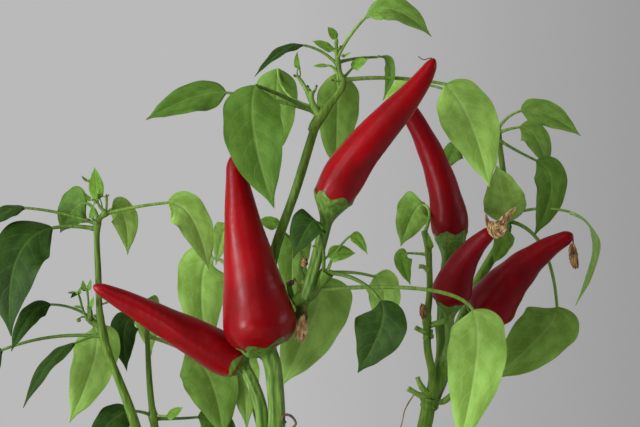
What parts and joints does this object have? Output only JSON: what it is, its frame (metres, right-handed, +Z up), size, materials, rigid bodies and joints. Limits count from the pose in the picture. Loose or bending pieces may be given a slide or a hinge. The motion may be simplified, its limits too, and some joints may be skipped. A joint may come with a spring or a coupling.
{
  "type": "chilli pepper plant",
  "caption": "Chilli pepper plant with pointed red fruit and long-stalked leaves on forked green boughs, growing in a plain clay pot.",
  "frame": {"origin": "centre of the pot's flat underside", "axes": "+Z up along the trunk; X runs left to right and +Y away from the viewer as the picture sees it"},
  "size_m": [0.2575, 0.2342, 0.4883],
  "materials": {
    "clay": "matte fired clay",
    "earth": "matte damp potting soil",
    "bark": "matte ridged bark",
    "green_stem": "satin green stem",
    "foliage": "satin leaf",
    "ripe_skin": "glossy ripe fruit skin"
  },
  "bodies": {
    "root": {"pot": "clay", "soil": "earth", "trunk": "bark", "bough_left": "green_stem", "bough_centre": "green_stem", "bough_right": "green_stem", "bough_inner_left": "green_stem", "bough_tall": "green_stem", "bough_fruit": "green_stem", "bough_right_mid": "green_stem", "bough_right_inner": "green_stem", "bough_right_upper": "green_stem", "bough_back_left": "green_stem", "bough_back": "green_stem", "bough_low_front_left": "green_stem", "bough_low_front_right": "green_stem", "bough_low_left": "green_stem", "bough_low_right": "green_stem", "bough_low_back_left": "green_stem", "bough_low_back_right": "green_stem", "chilli_1": "ripe_skin", "stalk_1": "green_stem", "chilli_2": "ripe_skin", "stalk_2": "green_stem", "chilli_3": "ripe_skin", "stalk_3": "green_stem", "chilli_4": "ripe_skin", "stalk_4": "green_stem", "chilli_5": "ripe_skin", "stalk_5": "green_stem", "chilli_6": "ripe_skin", "stalk_6": "green_stem", "chilli_7": "ripe_skin", "stalk_7": "green_stem", "chilli_8": "ripe_skin", "stalk_8": "green_stem", "chilli_9": "ripe_skin", "stalk_9": "green_stem", "chilli_10": "ripe_skin", "stalk_10": "green_stem", "foliage_left": "foliage", "foliage_inner_left": "foliage", "foliage_top": "foliage", "foliage_centre": "foliage", "foliage_right_inner": "foliage", "foliage_right": "foliage", "foliage_back_left": "foliage", "foliage_back": "foliage", "foliage_low_front_left": "foliage", "foliage_low_front_right": "foliage", "foliage_low_left": "foliage", "foliage_low_right": "foliage", "foliage_low_back_left": "foliage", "foliage_low_back_right": "foliage"}
  },
  "joints": []
}
